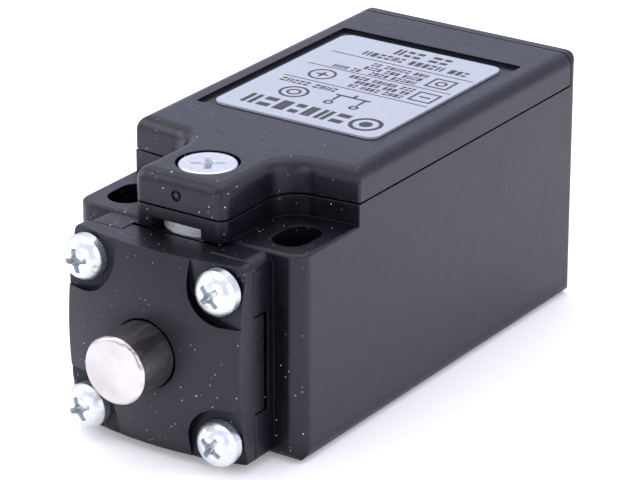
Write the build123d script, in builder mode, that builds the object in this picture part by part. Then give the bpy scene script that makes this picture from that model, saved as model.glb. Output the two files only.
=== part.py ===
from build123d import *
import os

# A plastic-bodied limit switch with a plunger head, lying on its mounting face.
# Origin: on the mounting face, midway between the two fixing slots.
# +X across the body, +Y from the plunger towards the cable entry, +Z up to the cover.

# ---- driving dimensions, mm -------------------------------------------------------------

# body
BODY_W = 30.0
FRONT_Y = -5.0          # front face of the body
REAR_Y = 52.6           # rear face, with the cable entry
LEDGE_Z = 24.45          # top of the fixing ears
RIM_Z = 26.85            # top of the rim that the cover closes on
BACK_WALL_T = 1.17      # thin wall behind the cover, as high as it
FRONT_EDGE_R = 1.8
FOOT_R = 1.8            # rounding of the lower front edge
REAR_EDGE_R = 0.8
EAR_EDGE_R = 0.4

# fixing slots
SLOT_PITCH = 22.0
SLOT_W = 4.3
SLOT_L = 6.3

# neck and notches of the cover outline
NECK_W = 12.0
NECK_FRONT = -6.5
NECK_EDGE_R = 1.2
NOTCH_Y = 5.5           # where a notch's hollow corner ends
NOTCH_R = 3.55
SHOULDER_Y = 6.15       # the notch meets the side here
SHOULDER_R = 0.3

# cavity
CAVITY_W = 26.0
CAVITY_FRONT = 7.6
CAVITY_REAR = 42.2
FLOOR_Z = 2.2
REBATE = 0.9            # step round the cavity mouth for the gasket

# cable entry, M20 x 1.5
ENTRY_Z = 14.15
THREAD_MINOR_R = 9.19
THREAD_MAJOR_R = 10.0
THREAD_PITCH = 1.5

# head
AXIS_Z = 12.65           # plunger axis above the mounting face
HEAD_W = 22.7
HEAD_H = 23.1
FLANGE_Y = -8.4         # joint between the housing's flange and the head cap
FLANGE_EDGE_R = 1.6
HEAD_FOOT_R = 0.4       # lower corners of flange and cap
CAP_EDGE_R = 0.8
JOINT_BREAK = 0.15      # chamfers along the joint of flange and cap
CROWN_TOP_Y = -13.0
CROWN_R = 42.0          # radius of the domed front
POCKET_Y = -11.0
POCKET_EDGE = 4.8
POCKET_R = 4.5
TAB_W = 11.2
TAB_L = 1.6
TAB_T = 1.7
TAB_SHIFT = -0.35       # the tabs sit a little off centre, so that they key one way
TAB_GAP = 0.4           # across a tab, both sides together
TAB_END_GAP = 0.7
HEAD_SCREW_PITCH = 17.6
HEAD_SCREW_R = 1.45
HEAD_SCREW_HEAD_R = 2.58
HEAD_SCREW_HEAD_H = 2.3
HEAD_SCREW_L = 6.8
HEAD_SCREW_HOLE = 4.8   # depth in the flange and housing
HEAD_SCREW_RECESS = (2.9, 0.66, 1.2)    # size, width and depth of the cross
HEAD_SCREW_TURNS = (25, 12, 55, 42)     # how far each cross is turned, degrees
PAN_RIM = 0.45          # heights of a pan head's rim and shoulder, as shares of the head's
PAN_SHOULDER = 0.83
GASKET_R = (6.2, 7.8)
GASKET_T = 0.8

# plunger and what guides it
PLUNGER_R = 3.88
TIP_Y = -18.8
MOUTH_GAP = 0.15        # dark ring round the plunger
RUNNING = 0.05          # radial clearance of a sliding shaft
COLLAR_R = 5.2
COLLAR_Y = -9.2
COLLAR_T = 1.2
SEAL_Y = -10.9
SEAL_T = 1.2
CHANNEL_R = 6.0
CHANNEL_END = 6.4
TAPPET_R = 2.5
TAPPET_END = 8.4
SOCKET_R = 2.0
SOCKET_L = 4.0

# cover
COVER_GAP = 0.22        # visible joint between rim and cover
COVER_TOP = 30.85
COVER_REAR = 51.23
COVER_EDGE_R = 1.5
COVER_HOLLOW_W = 22.4
LIP_W = 24.4
COVER_SKIN_Z = 28.95     # underside of the cover's top skin
LIP_DEPTH = 1.3
LABEL_PANEL = (24.7, 30.5)
LABEL_PANEL_DEPTH = 0.4
LABEL_PANEL_Y = 29.2
LABEL = (21.9, 27.7)
LABEL_CENTRE = (-0.2, 29.2)
LABEL_T = 0.25

# cover screw and its nut
SCREW_Y = -0.9
SCREW_HEAD_R = 3.33
SCREW_SINK = 0.27       # counterbore round the head
SCREW_RECESS = (3.8, 0.85, 1.6)
SCREW_TURN = 33.6
SCREW_SEAT_Z = 28.25
SCREW_R = 1.95
SCREW_END_Z = 21.65
NUT_R = 4.9
NUT_Z = 23.65
NUT_T = 2.6
NUT_WINDOW_X = (-3.6, 3.0)
NUT_WINDOW_Z = (24.05, 25.55)
MARK_PLACE = (-0.2, NECK_FRONT, 28.7)  # small round ejector mark
MARK_R = 0.65
MARK_DEPTH = 0.25

# contact block
BLOCK_W = 23.2
BLOCK_FRONT = 9.0
BLOCK_REAR = 33.0
BLOCK_FLOOR_Z = 2.3
PAD_Z = 16.15            # top of the terminal pads
TOWER_W = 14.0
TOWER_Z = 20.65
TROUGH_W = 11.2
TROUGH_FRONT = 10.2
TROUGH_REAR = 31.8
TROUGH_Z = 9.15
PAD_FRONT_END = 17.6    # the waist between front and rear pads starts here
PAD_REAR_START = 24.0
EAR_Z = 6.85
EAR_T = 2.0
BOSS_R = 2.4
BOSS_HOLE_R = 1.25
BLOCK_SCREW_X = 9.4
BLOCK_SCREW_Y = 20.8
BLOCK_SCREW_R = 1.2
BLOCK_SCREW_HEAD = (2.1, 1.6)           # radius and height
BLOCK_SCREW_RECESS = (2.4, 0.6, 0.9)
LID_Z = 19.05

# slide and contacts
SLIDE_W = 5.8
SLIDE_Z = (9.25, 16.25)
SLIDE_FRONT = 10.4
SLIDE_REAR = 26.4
SPRING_BORE = (22.4, 1.9)               # where the slide's spring bore starts, and its radius
WINDOW_Z = (10.95, 14.55)
NC_WINDOW = (11.5, 15.0)
NO_WINDOW = (16.0, 21.2)
STRIP_T = 0.6
TIP_T = 0.5
TIP_X = 4.3
TIP_R = 0.9
BRIDGE_W = 10.6
BRIDGE_H = 2.4
NC_BRIDGE_Y = 12.0
NO_BRIDGE_Y = 20.6
NC_STRIP_Y = 10.4
NO_STRIP_Y = 24.2
STRIP_TOP_T = 0.8
STRIP_LEG_X = (3.3, 5.4)                # leg in the trough, arm across its wall, pad outside
STRIP_ARM_X = (3.3, 7.2)
PAD_X = (7.2, 11.3)
STRIP_LEG_Z = 11.25
NC_PAD_END = 17.2
NO_PAD_END = 31.6
TERMINAL_X = 9.2
NC_TERMINAL_Y = 13.9
NO_TERMINAL_Y = 28.1
TERMINAL_R = 1.7
TERMINAL_HEAD = (2.15, 2.2)             # radius and height
TERMINAL_RECESS = (2.9, 0.7, 1.2)
CLAMP_Z = 17.65
CLAMP_T = 1.0

SPRING_SEAT_Y = COLLAR_Y + COLLAR_T
PLUNGER_REAR = SPRING_SEAT_Y + 2.0
PLUNGER_AXIS = Axis((0, 0, AXIS_Z), (0, 1, 0))


# ---- construction helpers ---------------------------------------------------------------


def head_plane(y):
    """Plane across the plunger axis at Y = y, facing the plunger's tip; local y is up."""
    return Plane(origin=(0, y, AXIS_Z), x_dir=(1, 0, 0), z_dir=(0, -1, 0))


def centred_rectangle(width, start, end):
    """Rectangle symmetric about X = 0 that runs from Y = start to Y = end."""
    with Locations((0, (start + end) / 2)):
        Rectangle(width, end - start)


def notched_outline(rear, shoulder_r, rear_r):
    """Outline shared by the rim and the cover: a neck, two hollow corners and the full width."""
    neck = NECK_W / 2
    side = BODY_W / 2
    with BuildLine() as outline:
        Polyline((0, NECK_FRONT), (neck, NECK_FRONT), (neck, NOTCH_Y - NOTCH_R))
        CenterArc((neck + NOTCH_R, NOTCH_Y - NOTCH_R), NOTCH_R, 180, -90)
        Polyline((neck + NOTCH_R, NOTCH_Y), (side, SHOULDER_Y), (side, rear), (0, rear))
        mirror(about=Plane.YZ)
    make_face(outline.edges())
    fillet(vertices().group_by(Axis.Y)[0], NECK_EDGE_R)
    if shoulder_r:
        fillet(vertices().filter_by(lambda v: abs(v.X) > side - 0.01 and v.Y < rear - 1), shoulder_r)
    if rear_r:
        fillet(vertices().group_by(Axis.Y)[-1], rear_r)


def box_between(x, y, z, mode=Mode.ADD):
    """Box given by its (low, high) limits along each axis."""
    centre = ((x[0] + x[1]) / 2, (y[0] + y[1]) / 2, (z[0] + z[1]) / 2)
    with Locations(centre):
        Box(x[1] - x[0], y[1] - y[0], z[1] - z[0], mode=mode)


def disc_up(x, y, z, radius, height, mode=Mode.ADD):
    """Upright cylinder that stands on height z."""
    with Locations((x, y, z)):
        Cylinder(radius, height, align=(Align.CENTER, Align.CENTER, Align.MIN), mode=mode)


def disc_along(y, radius, length, mode=Mode.ADD):
    """Cylinder on the plunger axis from Y = y to Y = y + length."""
    with Locations(Location((0, y, AXIS_Z), (-90, 0, 0))):
        Cylinder(radius, length, align=(Align.CENTER, Align.CENTER, Align.MIN), mode=mode)


def ring_along(y, outer, inner, length):
    """Ring on the plunger axis."""
    disc_along(y, outer, length)
    disc_along(y, inner, length, mode=Mode.SUBTRACT)


def cross_recess(plane, size, width, depth):
    """Tapered cross-shaped driver recess cut into the head that faces the plane's normal."""
    with BuildSketch(plane) as cross:
        Rectangle(size, width)
        Rectangle(width, size)
        Circle(width)
    extrude(cross.sketch, amount=-depth, taper=12, mode=Mode.SUBTRACT)


def pan_screw(head, shank_r, length, recess):
    """Pan-head screw seated on z = 0 with its shank downwards; head is its radius and height."""
    radius, height = head
    with BuildPart() as screw:
        with BuildSketch(Plane.XZ) as section:
            with BuildLine() as outline:
                Polyline((0, height), (0, -length), (shank_r, -length), (shank_r, 0), (radius, 0))
                Line((radius, 0), (radius, height * PAN_RIM))
                ThreePointArc(
                    (radius, height * PAN_RIM), (radius * 0.75, height * PAN_SHOULDER), (0, height)
                )
            make_face(outline.edges())
        revolve(section.sketch, axis=Axis.Z)
        cross_recess(Plane.XY.offset(height + 0.1), *recess)
    return screw.part


def head_outline(top_r):
    """Outline of the flange and the cap in a head plane."""
    Rectangle(HEAD_W, HEAD_H)
    fillet(vertices().group_by(Axis.Y)[-1], top_r)
    fillet(vertices().group_by(Axis.Y)[0], HEAD_FOOT_R)


def key_places(distance, upright):
    """Places of the two tabs above and below the plunger, or of the two beside it."""
    if upright:
        return Locations((TAB_SHIFT, distance), (TAB_SHIFT, -distance))
    return Locations((distance, TAB_SHIFT), (-distance, TAB_SHIFT))


def key_pattern(depth, width):
    """The four tabs, or their keyways, in a head plane: depth inwards from the head's sides."""
    with key_places((HEAD_H - depth) / 2, True):
        Rectangle(width, depth)
    with key_places((HEAD_W - depth) / 2, False):
        Rectangle(depth, width)


def head_corners():
    """Places of the four head screws in a head plane."""
    return GridLocations(HEAD_SCREW_PITCH, HEAD_SCREW_PITCH, 2, 2)


def coil(start, length, radius, wire, turns):
    """Round-wire compression spring along Y on the plunger axis."""
    height = length - 2 * wire
    with BuildLine() as path:
        Helix(height / turns, height, radius, center=(0, start + wire, AXIS_Z), direction=(0, 1, 0))
    with BuildSketch(Plane(origin=path.line @ 0, z_dir=path.line % 0)) as section:
        Circle(wire)
    sweep(section.sketch, path=path.line, is_frenet=True)


# ---- housing ----------------------------------------------------------------------------

with BuildPart() as housing:
    # ears, with soft upper edges
    with BuildSketch():
        centred_rectangle(BODY_W, FRONT_Y, SHOULDER_Y + 1)
        fillet(vertices().group_by(Axis.Y)[0], FRONT_EDGE_R)
    extrude(amount=LEDGE_Z)
    fillet(edges().group_by(Axis.Z)[-1].sort_by(Axis.Y)[:-1], EAR_EDGE_R)
    with BuildSketch(Plane.YZ):
        with BuildLine():
            Polyline((FRONT_Y, FOOT_R), (FRONT_Y, 0), (FRONT_Y + FOOT_R, 0))
            RadiusArc((FRONT_Y, FOOT_R), (FRONT_Y + FOOT_R, 0), -FOOT_R)
        make_face()
    extrude(amount=BODY_W, both=True, mode=Mode.SUBTRACT)
    # walls
    with BuildSketch():
        centred_rectangle(BODY_W, SHOULDER_Y, REAR_Y)
        fillet(vertices().group_by(Axis.Y)[-1], REAR_EDGE_R)
    extrude(amount=LEDGE_Z)
    # rim under the cover
    with BuildSketch(Plane.XY.offset(LEDGE_Z)):
        notched_outline(REAR_Y, 0, REAR_EDGE_R)
    extrude(amount=RIM_Z - LEDGE_Z)
    # thin wall behind the cover
    with BuildSketch(Plane.XY.offset(RIM_Z)):
        centred_rectangle(BODY_W, REAR_Y - BACK_WALL_T, REAR_Y)
        fillet(vertices().group_by(Axis.Y)[-1], REAR_EDGE_R)
    extrude(amount=COVER_TOP - RIM_Z)
    # its upper corners are rounded like the cover's edges
    with BuildSketch(Plane.XZ.offset(-REAR_Y)):
        Rectangle(BODY_W, COVER_TOP, align=(Align.CENTER, Align.MIN))
        fillet(vertices().group_by(Axis.Z)[-1], COVER_EDGE_R)
    extrude(amount=REAR_Y - NECK_FRONT, mode=Mode.INTERSECT)
    # flange that carries the head
    with BuildSketch(head_plane(FRONT_Y)):
        head_outline(FLANGE_EDGE_R)
    extrude(amount=FRONT_Y - FLANGE_Y)
    chamfer(edges().group_by(Axis.Y)[0], JOINT_BREAK)
    # keyways for the head's tabs, one on each side
    with BuildSketch(head_plane(FLANGE_Y)):
        key_pattern(TAB_T + TAB_GAP / 2, TAB_W + TAB_GAP)
    extrude(amount=-(TAB_L + TAB_END_GAP), mode=Mode.SUBTRACT)
    # holes for the head screws
    with BuildSketch(head_plane(FLANGE_Y)):
        with head_corners():
            Circle(HEAD_SCREW_R + RUNNING)
    extrude(amount=-HEAD_SCREW_HOLE, mode=Mode.SUBTRACT)
    # seat of the head gasket
    with BuildSketch(head_plane(FLANGE_Y)):
        Circle(GASKET_R[1])
        Circle(GASKET_R[0], mode=Mode.SUBTRACT)
    extrude(amount=-GASKET_T, mode=Mode.SUBTRACT)
    # channel of the plunger's spring, and the tappet's guide
    disc_along(FLANGE_Y, CHANNEL_R, CHANNEL_END - FLANGE_Y, mode=Mode.SUBTRACT)
    disc_along(CHANNEL_END, TAPPET_R + RUNNING, CAVITY_FRONT - CHANNEL_END, mode=Mode.SUBTRACT)
    # fixing slots
    with BuildSketch():
        with GridLocations(SLOT_PITCH, 0, 2, 1):
            SlotOverall(SLOT_L, SLOT_W, rotation=90)
    extrude(amount=LEDGE_Z, mode=Mode.SUBTRACT)
    # cavity and the rebate round its mouth
    with BuildSketch(Plane.XY.offset(FLOOR_Z)):
        centred_rectangle(CAVITY_W, CAVITY_FRONT, CAVITY_REAR)
        fillet(vertices(), 1.0)
    extrude(amount=RIM_Z - FLOOR_Z, mode=Mode.SUBTRACT)
    with BuildSketch(Plane.XY.offset(RIM_Z - REBATE)):
        centred_rectangle(CAVITY_W + 2 * REBATE, CAVITY_FRONT - REBATE, CAVITY_REAR + REBATE)
        fillet(vertices(), 1.0)
    extrude(amount=REBATE, mode=Mode.SUBTRACT)
    # pocket and window of the cover nut, and the screw's clearance hole below it
    disc_up(0, SCREW_Y, NUT_Z, NUT_R + 0.1, RIM_Z - NUT_Z, mode=Mode.SUBTRACT)
    disc_up(0, SCREW_Y, SCREW_END_Z - 0.4, SCREW_R + 0.35, 4, mode=Mode.SUBTRACT)
    box_between(NUT_WINDOW_X, (NECK_FRONT, SCREW_Y), NUT_WINDOW_Z, mode=Mode.SUBTRACT)
    # cable entry: minor bore, thread grooves and a lead-in
    with BuildSketch(Plane.YZ):
        with BuildLine():
            Polyline(
                (CAVITY_REAR - 1, ENTRY_Z),
                (CAVITY_REAR - 1, ENTRY_Z + THREAD_MINOR_R),
                (REAR_Y - 1.0, ENTRY_Z + THREAD_MINOR_R),
                (REAR_Y, ENTRY_Z + THREAD_MAJOR_R + 0.2),
                (REAR_Y, ENTRY_Z),
                close=True,
            )
        make_face()
        for groove in range(6):
            root = CAVITY_REAR + 1.3 + groove * THREAD_PITCH
            with BuildLine():
                Polyline(
                    (root - 0.56, ENTRY_Z + THREAD_MINOR_R - 0.01),
                    (root - 0.09, ENTRY_Z + THREAD_MAJOR_R),
                    (root + 0.09, ENTRY_Z + THREAD_MAJOR_R),
                    (root + 0.56, ENTRY_Z + THREAD_MINOR_R - 0.01),
                    close=True,
                )
            make_face()
    revolve(axis=Axis((0, 0, ENTRY_Z), (0, 1, 0)), mode=Mode.SUBTRACT)
    # bosses for the block screws
    for side in (-1, 1):
        spot = (side * BLOCK_SCREW_X, BLOCK_SCREW_Y, FLOOR_Z)
        disc_up(*spot, BOSS_R, EAR_Z - FLOOR_Z)
        disc_up(*spot, BOSS_HOLE_R, EAR_Z - FLOOR_Z, mode=Mode.SUBTRACT)
housing.part.label = "housing"

# ---- head -------------------------------------------------------------------------------

with BuildPart() as head_cap:
    with BuildSketch(head_plane(FLANGE_Y)):
        head_outline(CAP_EDGE_R)
    extrude(amount=FLANGE_Y - CROWN_TOP_Y)
    chamfer(edges().group_by(Axis.Y)[-1], JOINT_BREAK)
    # slightly domed front
    with Locations((0, CROWN_TOP_Y + CROWN_R, AXIS_Z)):
        Sphere(CROWN_R, mode=Mode.INTERSECT)
    # corner pockets round the screw heads
    with BuildSketch(head_plane(POCKET_Y)):
        with GridLocations(2 * (POCKET_EDGE + 5), 2 * (POCKET_EDGE + 5), 2, 2):
            Rectangle(10, 10)
        fillet(vertices().sort_by_distance((0, 0, 0))[:4], POCKET_R)
    extrude(amount=4, mode=Mode.SUBTRACT)
    # keying tabs
    with BuildSketch(head_plane(FLANGE_Y)):
        key_pattern(TAB_T, TAB_W)
    extrude(amount=-TAB_L)
    # the tabs' bases fill the chamfer behind them
    with BuildSketch(head_plane(FLANGE_Y)):
        key_pattern(TAB_T, TAB_W)
    extrude(amount=JOINT_BREAK)
    # screw holes
    with BuildSketch(head_plane(FLANGE_Y)):
        with head_corners():
            Circle(HEAD_SCREW_R + 0.15)
    extrude(amount=4, mode=Mode.SUBTRACT)
    # guide bore, its mouth, and the seat of the seal and washer
    disc_along(CROWN_TOP_Y - 1, PLUNGER_R + RUNNING, 6, mode=Mode.SUBTRACT)
    disc_along(CROWN_TOP_Y - 1, PLUNGER_R + MOUTH_GAP, 2, mode=Mode.SUBTRACT)
    disc_along(SEAL_Y, 5.6, FLANGE_Y - SEAL_Y, mode=Mode.SUBTRACT)
head_cap.part.label = "head_cap"

head_screw = pan_screw(
    (HEAD_SCREW_HEAD_R, HEAD_SCREW_HEAD_H), HEAD_SCREW_R, HEAD_SCREW_L, HEAD_SCREW_RECESS
)
with BuildPart() as head_screws:
    for corner, turn in zip(head_corners(), HEAD_SCREW_TURNS):
        spot = corner.position
        seat = Plane(origin=(spot.X, POCKET_Y, AXIS_Z + spot.Y), x_dir=(1, 0, 0), z_dir=(0, -1, 0))
        add(head_screw.moved(seat.location * Location((0, 0, 0), (0, 0, turn))))
head_screws.part.label = "head_screws"

with BuildPart() as head_gasket:
    ring_along(FLANGE_Y, GASKET_R[1] - 0.1, GASKET_R[0] + 0.1, GASKET_T)
head_gasket.part.label = "head_gasket"

with BuildPart() as plunger_seal:
    ring_along(SEAL_Y, 5.55, PLUNGER_R + RUNNING, SEAL_T)
plunger_seal.part.label = "plunger_seal"

with BuildPart() as stop_washer:
    ring_along(SEAL_Y + SEAL_T, 5.55, PLUNGER_R + 0.1, COLLAR_Y - SEAL_Y - SEAL_T)
stop_washer.part.label = "stop_washer"

# ---- plunger ----------------------------------------------------------------------------

with BuildPart() as plunger:
    with BuildSketch(Plane.YZ):
        with BuildLine():
            ThreePointArc(
                (TIP_Y, AXIS_Z), (TIP_Y + 0.05, AXIS_Z + 1.7), (TIP_Y + 0.22, AXIS_Z + 3.4)
            )
            ThreePointArc(
                (TIP_Y + 0.22, AXIS_Z + 3.4),
                (TIP_Y + 0.38, AXIS_Z + 3.74),
                (TIP_Y + 0.75, AXIS_Z + PLUNGER_R),
            )
            Polyline(
                (TIP_Y + 0.75, AXIS_Z + PLUNGER_R),
                (COLLAR_Y, AXIS_Z + PLUNGER_R),
                (COLLAR_Y, AXIS_Z + COLLAR_R),
                (SPRING_SEAT_Y, AXIS_Z + COLLAR_R),
                (SPRING_SEAT_Y, AXIS_Z + PLUNGER_R),
                (PLUNGER_REAR, AXIS_Z + PLUNGER_R),
                (PLUNGER_REAR, AXIS_Z + SOCKET_R),
                (PLUNGER_REAR - SOCKET_L, AXIS_Z + SOCKET_R),
                (PLUNGER_REAR - SOCKET_L, AXIS_Z),
                (TIP_Y, AXIS_Z),
            )
        make_face()
    revolve(axis=PLUNGER_AXIS)
plunger.part.label = "plunger"

with BuildPart() as tappet:
    disc_along(PLUNGER_REAR - SOCKET_L, SOCKET_R, SOCKET_L)
    disc_along(PLUNGER_REAR, TAPPET_R, TAPPET_END - PLUNGER_REAR)
    fillet(edges().group_by(Axis.Y)[-1], 0.4)
tappet.part.label = "tappet"

with BuildPart() as return_spring:
    coil(SPRING_SEAT_Y, CHANNEL_END - SPRING_SEAT_Y, 4.65, 0.38, 6)
return_spring.part.label = "return_spring"

# ---- cover ------------------------------------------------------------------------------

COVER_BOTTOM = RIM_Z + COVER_GAP

with BuildPart() as cover:
    with BuildSketch(Plane.XY.offset(COVER_BOTTOM)):
        notched_outline(COVER_REAR, SHOULDER_R, 0)
    extrude(amount=COVER_TOP - COVER_BOTTOM)
    fillet(edges().group_by(Axis.Z)[-1].sort_by(Axis.Y)[:-1], COVER_EDGE_R)
    # hollow underside
    with BuildSketch(Plane.XY.offset(COVER_BOTTOM)):
        centred_rectangle(COVER_HOLLOW_W, CAVITY_FRONT + 1.8, CAVITY_REAR - 1.8)
        fillet(vertices(), 1.0)
    extrude(amount=COVER_SKIN_Z - COVER_BOTTOM, mode=Mode.SUBTRACT)
    # locating lip
    with BuildSketch(Plane.XY.offset(COVER_BOTTOM)):
        centred_rectangle(LIP_W, CAVITY_FRONT + 0.8, CAVITY_REAR - 0.8)
        fillet(vertices(), 1.0)
        with Locations((0, (CAVITY_FRONT + CAVITY_REAR) / 2)):
            Rectangle(COVER_HOLLOW_W, CAVITY_REAR - CAVITY_FRONT - 3.6, mode=Mode.SUBTRACT)
    extrude(amount=-LIP_DEPTH)
    # sunk panel for the label
    with BuildSketch(Plane.XY.offset(COVER_TOP)):
        with Locations((0, LABEL_PANEL_Y)):
            RectangleRounded(*LABEL_PANEL, 0.4)
    extrude(amount=-LABEL_PANEL_DEPTH, mode=Mode.SUBTRACT)
    # counterbored hole of the cover screw
    with Locations((0, SCREW_Y, COVER_TOP)):
        CounterBoreHole(SCREW_R + 0.2, SCREW_HEAD_R + SCREW_SINK, COVER_TOP - SCREW_SEAT_Z)
    # ejector mark on the neck's front: a ring groove
    with Locations(Location(MARK_PLACE, (90, 0, 0))):
        for radius, mode in ((MARK_R, Mode.SUBTRACT), (MARK_R * 0.5, Mode.ADD)):
            Cylinder(radius, MARK_DEPTH, align=(Align.CENTER, Align.CENTER, Align.MAX), mode=mode)
cover.part.label = "cover"

with BuildPart() as cover_gasket:
    with BuildSketch(Plane.XY.offset(RIM_Z - REBATE + 0.05)):
        centred_rectangle(
            CAVITY_W + 2 * REBATE - 0.2, CAVITY_FRONT - REBATE + 0.1, CAVITY_REAR + REBATE - 0.1
        )
        fillet(vertices(), 0.9)
        with Locations((0, (CAVITY_FRONT + CAVITY_REAR) / 2)):
            RectangleRounded(24.6, CAVITY_REAR - CAVITY_FRONT - 1.4, 1.1, mode=Mode.SUBTRACT)
    extrude(amount=COVER_BOTTOM - (RIM_Z - REBATE + 0.05))
cover_gasket.part.label = "cover_gasket"

with BuildPart() as cover_screw:
    disc_up(0, SCREW_Y, SCREW_SEAT_Z, SCREW_HEAD_R, COVER_TOP - 0.05 - SCREW_SEAT_Z)
    fillet(edges().group_by(Axis.Z)[-1], 0.35)
    disc_up(0, SCREW_Y, SCREW_END_Z, SCREW_R, SCREW_SEAT_Z - SCREW_END_Z)
    chamfer(edges().group_by(Axis.Z)[0], 0.4)
    screw_top = Plane(origin=(0, SCREW_Y, COVER_TOP - 0.05), z_dir=(0, 0, 1))
    cross_recess(screw_top.rotated((0, 0, SCREW_TURN)), *SCREW_RECESS)
cover_screw.part.label = "cover_screw"

with BuildPart() as screw_retainer:
    disc_up(0, SCREW_Y, NUT_Z + NUT_T + 0.1, 3.2, 0.6)
    disc_up(0, SCREW_Y, NUT_Z + NUT_T + 0.1, SCREW_R, 0.6, mode=Mode.SUBTRACT)
screw_retainer.part.label = "screw_retainer"

with BuildPart() as cover_nut:
    disc_up(0, SCREW_Y, NUT_Z, NUT_R, NUT_T)
    chamfer(edges(), 0.25)
    disc_up(0, SCREW_Y, NUT_Z, SCREW_R + RUNNING, NUT_T, mode=Mode.SUBTRACT)
cover_nut.part.label = "cover_nut"

with BuildPart() as label_plate:
    with BuildSketch(Plane.XY.offset(COVER_TOP - LABEL_PANEL_DEPTH)):
        with Locations(LABEL_CENTRE):
            RectangleRounded(*LABEL, 1.4)
    extrude(amount=LABEL_T)
label_plate.part.label = "label_plate"

# ---- contact block ----------------------------------------------------------------------


def terminal_places():
    """The four terminals, in plan."""
    return Locations(
        (-TERMINAL_X, NC_TERMINAL_Y),
        (TERMINAL_X, NC_TERMINAL_Y),
        (-TERMINAL_X, NO_TERMINAL_Y),
        (TERMINAL_X, NO_TERMINAL_Y),
    )


with BuildPart() as block_case:
    box_between((-BLOCK_W / 2, BLOCK_W / 2), (BLOCK_FRONT, BLOCK_REAR), (BLOCK_FLOOR_Z, PAD_Z))
    box_between((-TOWER_W / 2, TOWER_W / 2), (BLOCK_FRONT, BLOCK_REAR), (PAD_Z, TOWER_Z))
    # trough of the slide, and the hole for its nose
    box_between(
        (-TROUGH_W / 2, TROUGH_W / 2), (TROUGH_FRONT, TROUGH_REAR), (TROUGH_Z, TOWER_Z),
        mode=Mode.SUBTRACT,
    )
    disc_along(BLOCK_FRONT, 2.8, TROUGH_FRONT - BLOCK_FRONT, mode=Mode.SUBTRACT)
    for side in (-1, 1):
        outer = sorted((side * TOWER_W / 2, side * (BLOCK_W / 2 + 1)))
        wall = sorted((side * TROUGH_W / 2, side * TOWER_W / 2))
        # waist with its fixing ear
        waist = (PAD_FRONT_END, PAD_REAR_START)
        box_between(outer, waist, (EAR_Z + EAR_T, PAD_Z), mode=Mode.SUBTRACT)
        box_between(outer, waist, (BLOCK_FLOOR_Z, EAR_Z), mode=Mode.SUBTRACT)
        # slots in the tower walls for the fixed strips
        for strip_y in (NC_STRIP_Y, NO_STRIP_Y):
            slot = (strip_y - RUNNING, strip_y + STRIP_T + RUNNING)
            box_between(wall, slot, (PAD_Z, TOWER_Z), mode=Mode.SUBTRACT)
        disc_up(side * BLOCK_SCREW_X, BLOCK_SCREW_Y, EAR_Z, 1.35, EAR_T, mode=Mode.SUBTRACT)
    # holes under the terminal screws
    with BuildSketch(Plane.XY.offset(PAD_Z)):
        with terminal_places():
            Circle(TERMINAL_R + RUNNING)
    extrude(amount=-7, mode=Mode.SUBTRACT)
block_case.part.label = "block_case"

with BuildPart() as block_lid:
    lid_half = TROUGH_W / 2 - 0.05
    box_between((-lid_half, lid_half), (TROUGH_FRONT + 0.05, TROUGH_REAR - 0.05), (LID_Z, TOWER_Z))
    # rib that keeps the slide down
    box_between((-2.5, 2.5), (TROUGH_FRONT + 1, TROUGH_REAR - 1), (SLIDE_Z[1] + 0.1, LID_Z))
    # finger recess
    box_between((-2.0, 2.0), (19.5, 22.5), (TOWER_Z - 0.8, TOWER_Z), mode=Mode.SUBTRACT)
block_lid.part.label = "block_lid"

block_screw = pan_screw(
    BLOCK_SCREW_HEAD, BLOCK_SCREW_R, EAR_Z + EAR_T - FLOOR_Z - 0.1, BLOCK_SCREW_RECESS
)
with BuildPart() as block_screws:
    for side in (-1, 1):
        add(block_screw.moved(Location((side * BLOCK_SCREW_X, BLOCK_SCREW_Y, EAR_Z + EAR_T))))
block_screws.part.label = "block_screws"

# fixed contact strips: a pad under the terminal screw, a bend and a leg into the trough
strips = {}
for name, side, leg_y, pad_end, terminal_y in (
    ("strip_nc_left", -1, NC_STRIP_Y, NC_PAD_END, NC_TERMINAL_Y),
    ("strip_nc_right", 1, NC_STRIP_Y, NC_PAD_END, NC_TERMINAL_Y),
    ("strip_no_left", -1, NO_STRIP_Y, NO_PAD_END, NO_TERMINAL_Y),
    ("strip_no_right", 1, NO_STRIP_Y, NO_PAD_END, NO_TERMINAL_Y),
):
    leg, arm, plate = (sorted((side * a, side * b)) for a, b in (STRIP_LEG_X, STRIP_ARM_X, PAD_X))
    thickness = (leg_y, leg_y + STRIP_T)
    top = (PAD_Z, PAD_Z + STRIP_TOP_T)
    with BuildPart() as strip:
        box_between(plate, (leg_y, pad_end), top)
        box_between(arm, thickness, top)
        box_between(leg, thickness, (STRIP_LEG_Z, PAD_Z))
        spot = (side * TERMINAL_X, terminal_y, PAD_Z)
        disc_up(*spot, TERMINAL_R + RUNNING, STRIP_TOP_T, mode=Mode.SUBTRACT)
    strip.part.label = name
    strips[name] = strip


def contact_tips(y):
    """A pair of silver contact buttons whose low-Y faces are at Y = y."""
    for side in (-1, 1):
        with Locations(Location((side * TIP_X, y, AXIS_Z), (-90, 0, 0))):
            Cylinder(TIP_R, TIP_T, align=(Align.CENTER, Align.CENTER, Align.MIN))


with BuildPart() as fixed_tips:
    contact_tips(NC_STRIP_Y + STRIP_T)
    contact_tips(NO_STRIP_Y - TIP_T)
fixed_tips.part.label = "fixed_tips"

with BuildPart() as terminal_clamps:
    with BuildSketch(Plane.XY.offset(CLAMP_Z)):
        with terminal_places():
            RectangleRounded(4.2, 6.4, 0.4)
            Circle(TERMINAL_R + RUNNING, mode=Mode.SUBTRACT)
    extrude(amount=CLAMP_T)
terminal_clamps.part.label = "terminal_clamps"

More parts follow.
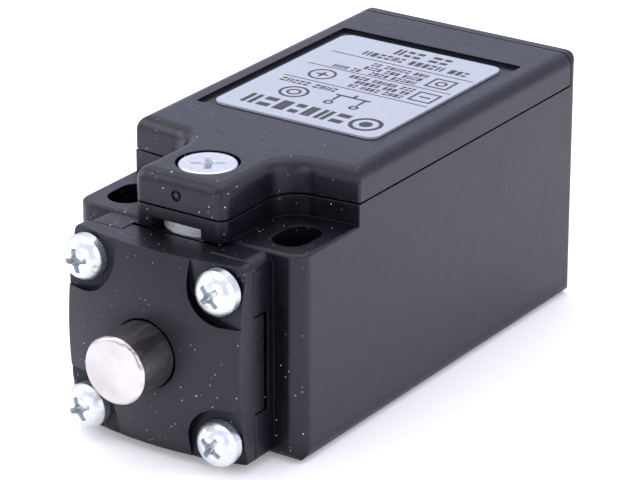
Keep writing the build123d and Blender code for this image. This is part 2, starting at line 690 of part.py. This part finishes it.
terminal_screw = pan_screw(
    TERMINAL_HEAD, TERMINAL_R, CLAMP_Z + CLAMP_T - PAD_Z + 6, TERMINAL_RECESS
)
with BuildPart() as terminal_screws:
    for place in terminal_places():
        seat = Location((place.position.X, place.position.Y, CLAMP_Z + CLAMP_T))
        add(terminal_screw.moved(seat))
terminal_screws.part.label = "terminal_screws"

# ---- slide and bridges ------------------------------------------------------------------

with BuildPart() as contact_carrier:
    box_between((-SLIDE_W / 2, SLIDE_W / 2), (SLIDE_FRONT, SLIDE_REAR), SLIDE_Z)
    disc_along(TAPPET_END, TAPPET_R, SLIDE_FRONT - TAPPET_END)
    for window in (NC_WINDOW, NO_WINDOW):
        box_between((-SLIDE_W, SLIDE_W), window, WINDOW_Z, mode=Mode.SUBTRACT)
    disc_along(SPRING_BORE[0], SPRING_BORE[1], SLIDE_REAR - SPRING_BORE[0], mode=Mode.SUBTRACT)
contact_carrier.part.label = "contact_carrier"

with BuildPart() as carrier_spring:
    coil(SPRING_BORE[0], TROUGH_REAR - SPRING_BORE[0], 1.4, 0.2, 8)
carrier_spring.part.label = "carrier_spring"

bridges = {}
for name, bridge_y in (("bridge_nc", NC_BRIDGE_Y), ("bridge_no", NO_BRIDGE_Y)):
    with BuildPart() as bridge:
        box_between(
            (-BRIDGE_W / 2, BRIDGE_W / 2),
            (bridge_y, bridge_y + STRIP_T),
            (AXIS_Z - BRIDGE_H / 2, AXIS_Z + BRIDGE_H / 2),
        )
        fillet(edges().filter_by(Axis.Y), 0.6)
    bridge.part.label = name
    bridges[name] = bridge

with BuildPart() as moving_tips_nc:
    contact_tips(NC_BRIDGE_Y - TIP_T)
moving_tips_nc.part.label = "moving_tips_nc"

with BuildPart() as moving_tips_no:
    contact_tips(NO_BRIDGE_Y + STRIP_T)
moving_tips_no.part.label = "moving_tips_no"

with BuildPart() as bridge_spring_nc:
    coil(NC_BRIDGE_Y + STRIP_T, NC_WINDOW[1] - NC_BRIDGE_Y - STRIP_T, 1.1, 0.15, 3)
bridge_spring_nc.part.label = "bridge_spring_nc"

with BuildPart() as bridge_spring_no:
    coil(NO_WINDOW[0], NO_BRIDGE_Y - NO_WINDOW[0], 1.1, 0.15, 4)
bridge_spring_no.part.label = "bridge_spring_no"

# ---- export -----------------------------------------------------------------------------

os.makedirs("parts", exist_ok=True)
pieces = [
    housing, head_cap, head_screws, head_gasket, plunger_seal, stop_washer, plunger, tappet,
    return_spring, cover, cover_gasket, cover_screw, screw_retainer, cover_nut, label_plate,
    block_case, block_lid, block_screws, fixed_tips, terminal_clamps, terminal_screws,
    contact_carrier, carrier_spring, moving_tips_nc, moving_tips_no, bridge_spring_nc,
    bridge_spring_no, *strips.values(), *bridges.values(),
]
for piece in pieces:
    export_step(piece.part, f"parts/{piece.part.label}.step")
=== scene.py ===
import math
import random

import bmesh
import bpy
from mathutils import Matrix, Vector


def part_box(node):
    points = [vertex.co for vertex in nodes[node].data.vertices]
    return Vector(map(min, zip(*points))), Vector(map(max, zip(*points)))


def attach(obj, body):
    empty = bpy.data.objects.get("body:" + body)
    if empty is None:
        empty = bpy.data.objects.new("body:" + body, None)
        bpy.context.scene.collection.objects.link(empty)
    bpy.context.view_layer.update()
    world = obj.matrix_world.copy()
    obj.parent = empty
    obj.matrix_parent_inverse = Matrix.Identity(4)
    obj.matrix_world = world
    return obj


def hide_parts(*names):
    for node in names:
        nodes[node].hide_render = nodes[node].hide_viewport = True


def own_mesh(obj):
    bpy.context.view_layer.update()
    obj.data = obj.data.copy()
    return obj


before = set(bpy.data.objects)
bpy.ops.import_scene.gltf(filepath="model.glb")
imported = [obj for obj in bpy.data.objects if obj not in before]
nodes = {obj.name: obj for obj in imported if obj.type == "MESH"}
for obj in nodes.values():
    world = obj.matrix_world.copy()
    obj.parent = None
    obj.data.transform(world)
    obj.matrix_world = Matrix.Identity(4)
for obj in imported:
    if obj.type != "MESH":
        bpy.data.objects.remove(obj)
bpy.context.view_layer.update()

MM = 0.001
random.seed(11)

# ---- look of the shot ---------------------------------------------------------------------

CAMERA_AZIMUTH = math.radians(33.6)
CAMERA_ELEVATION = math.radians(22.19)
CAMERA_ROLL = math.radians(0.2)
CAMERA_DISTANCE = 0.40474
CAMERA_TARGET = Vector((0, 0.024, 0.01565))
CAMERA_LENS = 197.8
CAMERA_SHIFT = (-0.0240, -0.0309)
LAMP_TARGET = (0, 0.02, 0.012)


def add_camera():
    """Long-lens camera that looks down on the switch from its front right."""
    flat = math.cos(CAMERA_ELEVATION)
    back = Vector(
        (math.sin(CAMERA_AZIMUTH) * flat, -math.cos(CAMERA_AZIMUTH) * flat, math.sin(CAMERA_ELEVATION))
    )
    camera = bpy.data.cameras.new("camera")
    camera.sensor_width = 36
    camera.lens = CAMERA_LENS
    camera.shift_x, camera.shift_y = CAMERA_SHIFT
    camera.clip_start, camera.clip_end = 0.01, 10
    holder = bpy.data.objects.new("camera", camera)
    bpy.context.scene.collection.objects.link(holder)
    holder.location = CAMERA_TARGET + back * CAMERA_DISTANCE
    holder.rotation_mode = "QUATERNION"
    turn = Matrix.Rotation(CAMERA_ROLL, 4, "Z").to_quaternion()
    holder.rotation_quaternion = (-back).to_track_quat("-Z", "Y") @ turn
    bpy.context.scene.camera = holder


def add_softbox(name, place, size, watts, colour):
    """Area light that faces the middle of the object."""
    light = bpy.data.lights.new(name, "AREA")
    light.shape = "RECTANGLE"
    light.size, light.size_y = size
    light.energy = watts
    light.color = colour
    lamp = bpy.data.objects.new(name, light)
    bpy.context.scene.collection.objects.link(lamp)
    lamp.location = place
    aim = Vector(LAMP_TARGET) - Vector(place)
    lamp.rotation_euler = aim.to_track_quat("-Z", "Y").to_euler()


# ---- node helpers -------------------------------------------------------------------------


class Shader:
    """Small builder for a procedural material."""

    def __init__(self, name):
        self.material = bpy.data.materials.new(name)
        self.material.use_nodes = True
        self.tree = self.material.node_tree
        self.main = self.tree.nodes["Principled BSDF"]
        self.place = self.add("ShaderNodeTexCoord").outputs["Object"]

    def add(self, kind, **settings):
        node = self.tree.nodes.new(kind)
        for key, value in settings.items():
            setattr(node, key, value)
        return node

    def wire(self, source, target):
        self.tree.links.new(source, target)

    def set(self, **values):
        """Constants on the shader's own sockets; underscores stand for spaces."""
        for key, value in values.items():
            self.main.inputs[key.replace("_", " ")].default_value = value

    def stretched(self, scale):
        """Object coordinates, scaled unevenly."""
        node = self.add("ShaderNodeMapping")
        node.inputs["Scale"].default_value = scale
        self.wire(self.place, node.inputs["Vector"])
        return node.outputs["Vector"]

    def noise(self, scale, detail, roughness=0.55, vector=None):
        node = self.add("ShaderNodeTexNoise")
        node.inputs["Scale"].default_value = scale
        node.inputs["Detail"].default_value = detail
        node.inputs["Roughness"].default_value = roughness
        self.wire(vector or self.place, node.inputs["Vector"])
        return node.outputs["Fac"]

    def cells(self, scale):
        """Distance and colour of scattered cell centres."""
        node = self.add("ShaderNodeTexVoronoi")
        node.inputs["Scale"].default_value = scale
        self.wire(self.place, node.inputs["Vector"])
        return node.outputs["Distance"], node.outputs["Color"]

    def spread(self, source, low, high, start=0.0, end=1.0):
        """Maps source from start..end to low..high, clamped."""
        node = self.add("ShaderNodeMapRange")
        node.inputs["From Min"].default_value = start
        node.inputs["From Max"].default_value = end
        node.inputs["To Min"].default_value = low
        node.inputs["To Max"].default_value = high
        self.wire(source, node.inputs["Value"])
        return node.outputs["Result"]

    def math(self, operation, a, b):
        node = self.add("ShaderNodeMath", operation=operation)
        for socket, value in zip(node.inputs, (a, b)):
            if isinstance(value, (int, float)):
                socket.default_value = value
            else:
                self.wire(value, socket)
        return node.outputs[0]

    def blend(self, factor, a, b):
        """Colour between a and b by factor; each may be a colour or a socket."""
        node = self.add("ShaderNodeMix", data_type="RGBA")
        self.wire(factor, node.inputs["Factor"])
        for socket, value in zip((node.inputs[6], node.inputs[7]), (a, b)):
            if isinstance(value, tuple):
                socket.default_value = (*value, 1)
            else:
                self.wire(value, socket)
        return node.outputs[2]

    def bump(self, height, distance, under=None):
        """Bump of a real height in metres, on top of another one."""
        node = self.add("ShaderNodeBump")
        node.inputs["Distance"].default_value = distance
        node.inputs["Strength"].default_value = 1.0
        self.wire(height, node.inputs["Height"])
        if under:
            self.wire(under, node.inputs["Normal"])
        return node.outputs["Normal"]

    def rounded(self, radius):
        """Shading normal with every sharp edge rounded by the radius."""
        node = self.add("ShaderNodeBevel", samples=4)
        node.inputs["Radius"].default_value = radius
        return node.outputs["Normal"]

    def edges(self, radius):
        """How much a spot lies on a sharp outer edge, 0 to 1."""
        rounded = self.rounded(radius)
        flat = self.add("ShaderNodeNewGeometry")
        dot = self.add("ShaderNodeVectorMath", operation="DOT_PRODUCT")
        self.wire(rounded, dot.inputs[0])
        self.wire(flat.outputs["Normal"], dot.inputs[1])
        return self.spread(dot.outputs["Value"], 1.0, 0.0, 0.80, 0.995)

    def finish(self, colour, roughness=None, normal=None):
        """Wires the sockets that vary over the surface and hands back the material."""
        for name, source in (("Base Color", colour), ("Roughness", roughness), ("Normal", normal)):
            if source is not None:
                self.wire(source, self.main.inputs[name])
        return self.material


# ---- materials ----------------------------------------------------------------------------


def specks(s, scale, share, size):
    """Sparse round dust specks: 1 on a speck, 0 elsewhere."""
    distance, colour = s.cells(scale)
    pick = s.add("ShaderNodeSeparateColor")
    s.wire(colour, pick.inputs[0])
    chosen = s.math("GREATER_THAN", pick.outputs[0], 1.0 - share)
    # the size of each speck follows another of the cell's random numbers
    radius = s.spread(pick.outputs[1], size * 0.45, size)
    near = s.math("LESS_THAN", distance, radius)
    return s.math("MULTIPLY", chosen, near)


def black_plastic():
    """Glass-filled polyamide: nearly black, satin, with moulded grain, rubbed edges and dust; the
    edges also carry a painted highlight, the sheen a painted bluish tint and the recesses painted
    shade.
    """
    s = Shader("black_plastic_look")
    cloud = s.noise(90, 3)
    grain = s.noise(5200, 2, 0.6)
    coarse = s.noise(1500, 3, 0.6)
    base = s.blend(s.spread(cloud, 0, 1, 0.3, 0.7), (0.0016, 0.0014, 0.0030), (0.0032, 0.0029, 0.0056))
    base = s.blend(s.spread(grain, 0, 0.22, 0.50, 0.75), base, (0.013, 0.0125, 0.018))
    dust = s.math("MAXIMUM", specks(s, 760, 0.24, 0.090), specks(s, 1700, 0.36, 0.145))
    patchy = s.spread(s.noise(75, 2), 0.12, 1, 0.40, 0.58)
    dust = s.math("MULTIPLY", dust, patchy)
    # dust has settled on the head and in the notches, hardly on the cover behind them
    place = s.add("ShaderNodeSeparateXYZ")
    s.wire(s.place, place.inputs[0])
    dust = s.math("MULTIPLY", dust, s.spread(place.outputs["Y"], 1, 0.2, 0.007, 0.016))
    base = s.blend(dust, base, (0.62, 0.63, 0.67))
    # rubbed wear together with a painted edge highlight: sharp edges are lightened where the bevel
    # normal turns away
    rubbed_and_highlit_edge = s.math("MULTIPLY", s.edges(0.00018), s.spread(s.noise(420, 3), 0.05, 0.6, 0.35, 0.7))
    base = s.blend(rubbed_and_highlit_edge, base, (0.040, 0.039, 0.049))
    rough = s.spread(coarse, 0.27, 0.37, 0.3, 0.7)
    rough = s.math("ADD", rough, s.spread(cloud, -0.03, 0.05, 0.3, 0.7))
    rough = s.math("ADD", rough, s.math("MULTIPLY", dust, 0.5))
    normal = s.bump(grain, 0.000006, under=s.rounded(0.00016))
    normal = s.bump(coarse, 0.000014, under=normal)
    # painted bluish sheen: the specular tint cools this plastic's reflections in place of bluish
    # surroundings
    s.set(IOR=1.5, Specular_Tint=(0.86, 0.87, 1.0, 1))
    # painted shade: ambient occlusion turns the sheen down in recesses and next to other parts, so
    # they read darker
    painted_shade_ao = s.add("ShaderNodeAmbientOcclusion", samples=4)
    painted_shade_ao.inputs["Distance"].default_value = 0.003
    s.wire(s.spread(painted_shade_ao.outputs["AO"], 0.10, 0.5, 0.40, 0.92), s.main.inputs["Specular IOR Level"])
    return s.finish(base, rough, normal)


def lid_plastic():
    """Pale moulded lid of the contact block."""
    s = Shader("lid_plastic_look")
    flow = s.noise(160, 3, vector=s.stretched((1, 0.25, 1)))
    colour = s.blend(s.spread(flow, 0, 1, 0.3, 0.7), (0.62, 0.60, 0.55), (0.72, 0.70, 0.64))
    rough = s.spread(s.noise(900, 3), 0.28, 0.42, 0.3, 0.7)
    return s.finish(colour, rough, s.bump(s.noise(2400, 2), 0.000012))


def moulded(name, dark, light):
    """Plain technical moulding: slight colour clouds, fine grain and flow marks."""
    s = Shader(name)
    cloud = s.noise(140, 3)
    flow = s.noise(420, 3, vector=s.stretched((1, 0.2, 1)))
    colour = s.blend(s.spread(cloud, 0, 1, 0.3, 0.7), dark, light)
    fine = s.noise(3800, 2, 0.6)
    normal = s.bump(fine, 0.000010)
    normal = s.bump(flow, 0.000015, under=normal)
    return s.finish(colour, s.spread(flow, 0.38, 0.5, 0.3, 0.7), normal)


def zinc_plate(metallic):
    """Bright bluish zinc plating: smooth, with faint clouds and bright rubbed edges."""
    s = Shader("zinc_plate_look")
    cloud = s.noise(700, 3)
    tint = s.blend(s.spread(cloud, 0, 1, 0.35, 0.65), (0.66, 0.71, 0.75), (0.78, 0.80, 0.80))
    stains = s.spread(s.noise(2200, 3, 0.6), 0, 0.30, 0.58, 0.78)
    tint = s.blend(stains, tint, (0.50, 0.53, 0.56))
    tint = s.blend(s.edges(0.00010), tint, (0.90, 0.92, 0.93))
    rough = s.spread(s.noise(1300, 3), 0.20, 0.32, 0.3, 0.7)
    normal = s.bump(s.noise(1500, 3), 0.000006, under=s.rounded(0.00012))
    s.set(Metallic=metallic)
    return s.finish(tint, rough, normal)


def polished_steel():
    """Turned steel plunger: bright end with circular marks, dull streaked shaft."""
    s = Shader("polished_steel_look")
    rings = s.noise(900, 4, 0.7, vector=s.stretched((0.12, 9, 0.12)))
    streak = s.noise(620, 5, 0.7, vector=s.stretched((1, 0.22, 1)))
    shaft = s.blend(s.spread(streak, 0, 1, 0.38, 0.66), (0.36, 0.325, 0.31), (0.84, 0.80, 0.78))
    # the end faces along the axis
    along = s.add("ShaderNodeSeparateXYZ")
    facing = s.add("ShaderNodeNewGeometry")
    s.wire(facing.outputs["True Normal"], along.inputs[0])
    end = s.spread(s.math("ABSOLUTE", along.outputs["Y"], 0), 0, 1, 0.75, 0.95)
    soft = s.noise(260, 2)
    bright = s.blend(s.spread(soft, 0, 1, 0.35, 0.65), (0.55, 0.52, 0.51), (0.68, 0.65, 0.64))
    colour = s.blend(end, shaft, bright)
    rough = s.spread(rings, 0.10, 0.22, 0.3, 0.7)
    turned = s.add("ShaderNodeTangent", direction_type="RADIAL", axis="Y")
    s.wire(turned.outputs["Tangent"], s.main.inputs["Tangent"])
    s.wire(s.spread(end, 0.0, 0.75), s.main.inputs["Anisotropic"])
    s.set(Metallic=1.0)
    return s.finish(colour, rough, s.bump(rings, 0.0000035, under=s.rounded(0.0001)))


def wire_steel():
    """Drawn spring wire."""
    s = Shader("spring_steel_look")
    draw = s.noise(2600, 3)
    colour = s.blend(s.spread(draw, 0, 1, 0.3, 0.7), (0.42, 0.41, 0.40), (0.62, 0.61, 0.59))
    s.set(Metallic=1.0)
    return s.finish(colour, s.spread(draw, 0.22, 0.36), s.bump(draw, 0.000006))


def rubber():
    """Black nitrile with a faint grey bloom."""
    s = Shader("black_rubber_look")
    bloom = s.noise(700, 3)
    colour = s.blend(s.spread(bloom, 0, 1, 0.4, 0.75), (0.012, 0.012, 0.013), (0.035, 0.035, 0.036))
    return s.finish(colour, s.spread(bloom, 0.62, 0.8), s.bump(s.noise(4200, 2), 0.00002))


def brass():
    """Rolled contact strip, slightly tarnished."""
    s = Shader("contact_brass_look")
    stain = s.noise(800, 4)
    colour = s.blend(s.spread(stain, 0, 1, 0.3, 0.7), (0.60, 0.40, 0.17), (0.82, 0.60, 0.30))
    s.set(Metallic=1.0)
    return s.finish(colour, s.spread(stain, 0.2, 0.36), s.bump(s.noise(5200, 3), 0.000005))


def silver():
    """Silver contact tips."""
    s = Shader("contact_silver_look")
    stain = s.noise(1800, 4)
    colour = s.blend(s.spread(stain, 0, 1, 0.3, 0.7), (0.70, 0.69, 0.66), (0.88, 0.875, 0.86))
    s.set(Metallic=1.0)
    return s.finish(colour, s.spread(stain, 0.2, 0.34), s.bump(stain, 0.000005))


def label_stock():
    """Satin label film, slightly uneven and mottled."""
    s = Shader("label_white_look")
    mottle = s.noise(1200, 4)
    colour = s.blend(s.spread(mottle, 0, 1, 0.3, 0.7), (0.385, 0.418, 0.47), (0.415, 0.450, 0.50))
    rough = s.spread(s.noise(500, 3), 0.30, 0.42, 0.3, 0.7)
    normal = s.bump(s.noise(150, 2), 0.00003)
    normal = s.bump(s.noise(4200, 2), 0.000006, under=normal)
    return s.finish(colour, rough, normal)


def label_ink():
    """Thin black print with slightly uneven cover."""
    s = Shader("label_ink_look")
    cover = s.noise(5200, 3, 0.65)
    colour = s.blend(s.spread(cover, 0, 1, 0.52, 0.78), (0.012, 0.012, 0.015), (0.075, 0.077, 0.088))
    return s.finish(colour, s.spread(cover, 0.34, 0.5), s.bump(cover, 0.000004))


def pale_floor():
    """Matt white sweep under the object."""
    s = Shader("pale_floor_look")
    mottle = s.noise(14, 3)
    colour = s.blend(s.spread(mottle, 0, 1, 0.3, 0.7), (0.93, 0.93, 0.93), (0.94, 0.94, 0.94))
    # a little light of its own keeps the shadow faint, as on an overlit sweep
    s.set(Roughness=0.85, Emission_Color=(1.0, 1.0, 0.985, 1), Emission_Strength=0.18)
    return s.finish(colour)


# ---- CAD nodes: finishes -------------------------------------------------------------------

LOOKS = {
    "black_plastic": black_plastic(),
    "polished_steel": polished_steel(),
    "zinc_plate": zinc_plate(metallic=0.86),
    "spring_steel": wire_steel(),
    "black_rubber": rubber(),
    "label_white": label_stock(),
    "block_plastic": moulded("block_plastic_look", (0.50, 0.48, 0.43), (0.62, 0.60, 0.54)),
    "lid_plastic": lid_plastic(),
    "slide_plastic": moulded("slide_plastic_look", (0.42, 0.045, 0.03), (0.56, 0.075, 0.045)),
    "contact_brass": brass(),
    "contact_silver": silver(),
}

for cad_piece in nodes.values():
    current = cad_piece.material_slots[0].material.name.split(".")[0]
    cad_piece.material_slots[0].material = LOOKS[current]

# the nut sits in the shade of its window, where full metal would look black
nodes["cover_nut"].material_slots[0].material = zinc_plate(metallic=0.35)

# ---- print on the label -------------------------------------------------------------------

INK = label_ink()
INK_T = 0.015 * MM
LABEL_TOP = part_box("label_plate")[1][2]


class Sheet:
    """Collects flat ink shapes, given in millimetres on the label, into one thin mesh."""

    def __init__(self):
        self.mesh = bmesh.new()

    def polygon(self, points):
        ring = [self.mesh.verts.new((x * MM, y * MM, LABEL_TOP)) for x, y in points]
        self.mesh.faces.new(ring)

    def bar(self, x, y, width, height):
        """Rectangle centred on x, y."""
        w, h = width / 2, height / 2
        self.polygon([(x - w, y - h), (x + w, y - h), (x + w, y + h), (x - w, y + h)])

    def ring(self, x, y, outer, inner, steps=40):
        """Outlined circle made of short flat pieces."""
        angles = [2 * math.pi * step / steps for step in range(steps + 1)]
        for a, b in zip(angles, angles[1:]):
            corners = ((outer, a), (outer, b), (inner, b), (inner, a))
            self.polygon([(x + r * math.cos(t), y + r * math.sin(t)) for r, t in corners])

    def frame(self, x, y, side, stroke):
        """Outlined square."""
        reach = (side - stroke) / 2
        for way in (-1, 1):
            self.bar(x, y + way * reach, side, stroke)
            self.bar(x + way * reach, y, stroke, side - 2 * stroke)

    def words(self, start, y, height, groups):
        """Row of word-like groups of small blocks that runs towards -X from start."""
        x = start
        for letters in groups:
            for _ in range(letters):
                width = height * random.uniform(0.40, 0.62)
                self.block(x - width / 2, y, width, height)
                x -= width + height * 0.20
            x -= height * 0.45

    def block(self, x, y, width, height):
        """One stand-in for a character: a block with a slit across or along it."""
        form = random.random()
        stroke = height * 0.20
        if form < 0.3:
            self.bar(x, y, width, height)
        elif form < 0.7:
            for way in (-1, 1):
                self.bar(x, y + way * (height - stroke * 1.7) / 2, width, stroke * 1.7)
        else:
            for way in (-1, 1):
                self.bar(x + way * (width - stroke) / 2, y, stroke, height)

    def finish(self, name):
        """Thickens the shapes into ink and lets them ride on the cover."""
        faces = bmesh.ops.extrude_face_region(self.mesh, geom=self.mesh.faces[:])["geom"]
        raised = [part for part in faces if isinstance(part, bmesh.types.BMVert)]
        bmesh.ops.translate(self.mesh, vec=(0, 0, INK_T), verts=raised)
        bmesh.ops.recalc_face_normals(self.mesh, faces=self.mesh.faces[:])
        data = bpy.data.meshes.new(name)
        self.mesh.to_mesh(data)
        self.mesh.free()
        data.materials.append(INK)
        piece = bpy.data.objects.new(name, data)
        bpy.context.scene.collection.objects.link(piece)
        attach(piece, "lid")


def print_label():
    """Generic print: rules, rows of word-like blocks, outlined symbols and a contact diagram."""
    text = Sheet()
    for y in (27.15, 32.1, 37.0):
        text.bar(0.5, y, 19.5, 0.16)
    text.words(4.6, 41.0, 1.9, (2, 3))
    text.words(8.5, 38.6, 1.35, (3, 5, 6))
    text.words(5.0, 35.7, 0.95, (3, 5, 2))
    text.words(5.0, 34.3, 0.95, (4, 3, 4))
    text.words(5.0, 32.95, 0.95, (5, 4))
    text.words(6.2, 30.9, 0.95, (3, 5, 4))
    text.words(6.2, 29.6, 0.95, (2, 3, 5))
    text.words(6.2, 28.25, 0.95, (4, 4, 2))
    text.words(-2.6, 32.95, 0.95, (2, 3))
    text.words(-1.2, 25.9, 1.1, (4, 5))
    text.words(5.0, 18.6, 2.9, (7,))
    text.finish("label_text")

    signs = Sheet()
    signs.frame(7.6, 34.4, 3.0, 0.28)
    signs.ring(7.6, 34.4, 0.75, 0.45)
    signs.frame(8.4, 29.6, 3.0, 0.28)
    signs.bar(8.4, 29.6, 1.4, 0.35)
    signs.ring(-5.6, 29.6, 1.7, 1.4)
    signs.bar(-5.6, 29.6, 1.6, 0.3)
    signs.bar(-5.6, 29.6, 0.3, 1.6)
    # contact diagram: two terminals, their leads and the bridge above them
    for way in (-1, 1):
        signs.ring(1.8 + way * 1.7, 22.3, 0.6, 0.3)
        signs.bar(1.8 + way * 1.7, 23.9, 0.3, 1.6)
    signs.bar(1.8, 24.9, 4.6, 0.35)
    signs.bar(1.8, 25.4, 0.35, 0.9)
    signs.ring(-5.0, 22.9, 1.8, 1.45)
    signs.ring(-5.0, 22.9, 0.9, 0.6)
    # plain badge beside the largest row
    signs.ring(7.6, 18.6, 2.0, 1.5)
    signs.ring(7.6, 18.6, 0.8, 0.02)
    signs.finish("label_signs")


print_label()

# ---- coil springs in place of the CAD ones ------------------------------------------------

COIL_SIDES = 10
COIL_STEPS_PER_TURN = 28


def add_coil(node, body, turns, wire):
    """Round-wire spring that stands for a CAD one and rides with the given body.

    wire is the wire's radius.
    """
    low, high = (Vector(corner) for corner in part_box(node))
    centre = (low + high) / 2
    radius = (high.x - low.x) / 2 - wire
    reach = high.y - low.y - 2 * wire
    steps = turns * COIL_STEPS_PER_TURN
    mesh = bmesh.new()
    rings = []
    for step in range(steps + 1):
        angle = 2 * math.pi * turns * step / steps
        outward = Vector((math.cos(angle), 0, math.sin(angle)))
        middle = Vector((centre.x, low.y + wire + reach * step / steps, centre.z)) + outward * radius
        ring = []
        for side in range(COIL_SIDES):
            turn = 2 * math.pi * side / COIL_SIDES
            offset = outward * math.cos(turn) + Vector((0, math.sin(turn), 0))
            ring.append(mesh.verts.new(middle + offset * wire))
        rings.append(ring)
    for a, b in zip(rings, rings[1:]):
        for side in range(COIL_SIDES):
            after = (side + 1) % COIL_SIDES
            mesh.faces.new((a[side], a[after], b[after], b[side]))
    mesh.faces.new(rings[0])
    mesh.faces.new(list(reversed(rings[-1])))
    bmesh.ops.recalc_face_normals(mesh, faces=mesh.faces[:])
    for face in mesh.faces:
        face.smooth = True
    data = bpy.data.meshes.new(node + "_coil")
    mesh.to_mesh(data)
    mesh.free()
    data.materials.append(LOOKS["spring_steel"])
    piece = bpy.data.objects.new(node + "_coil", data)
    bpy.context.scene.collection.objects.link(piece)
    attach(piece, body)
    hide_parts(node)
    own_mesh(piece)


add_coil("return_spring", "body", turns=6, wire=0.38 * MM)
add_coil("carrier_spring", "body", turns=8, wire=0.20 * MM)
add_coil(
    "bridge_spring_no", "contact_slide",
    turns=4, wire=0.15 * MM,
)

# ---- floor, light and camera --------------------------------------------------------------

FLOOR_HALF = 4.0
FLOOR_DROP = 0.02 * MM
WORLD_COLOUR = (0.79, 0.80, 1.0, 1)
WORLD_STRENGTH = 1.10
WARM = (1.0, 0.965, 0.88)


def add_floor():
    """Large square floor just under the mounting face."""
    mesh = bpy.data.meshes.new("floor")
    half = FLOOR_HALF
    corners = [(-half, -half, 0), (half, -half, 0), (half, half, 0), (-half, half, 0)]
    mesh.from_pydata(corners, [], [(0, 1, 2, 3)])
    floor = bpy.data.objects.new("floor", mesh)
    floor.location.z = -FLOOR_DROP
    bpy.context.scene.collection.objects.link(floor)
    mesh.materials.append(pale_floor())


def add_surroundings():
    """Pale, slightly blue studio all round."""
    world = bpy.data.worlds.new("studio")
    bpy.context.scene.world = world
    world.use_nodes = True
    background = world.node_tree.nodes["Background"]
    background.inputs["Color"].default_value = WORLD_COLOUR
    background.inputs["Strength"].default_value = WORLD_STRENGTH


add_camera()
add_floor()
add_surroundings()
add_softbox("top_box", (-0.05, 0.10, 0.60), (0.7, 0.7), 1.7, colour=WARM)
add_softbox("left_box", (-0.55, -0.25, 0.35), (0.5, 0.5), 1.6, colour=WARM)
add_softbox("right_box", (0.60, -0.05, 0.30), (0.5, 0.5), 0.75, colour=WARM)
add_softbox("front_box", (0.05, -0.60, 0.22), (0.4, 0.3), 0.6, colour=WARM)

bpy.context.scene.view_settings.view_transform = "Standard"
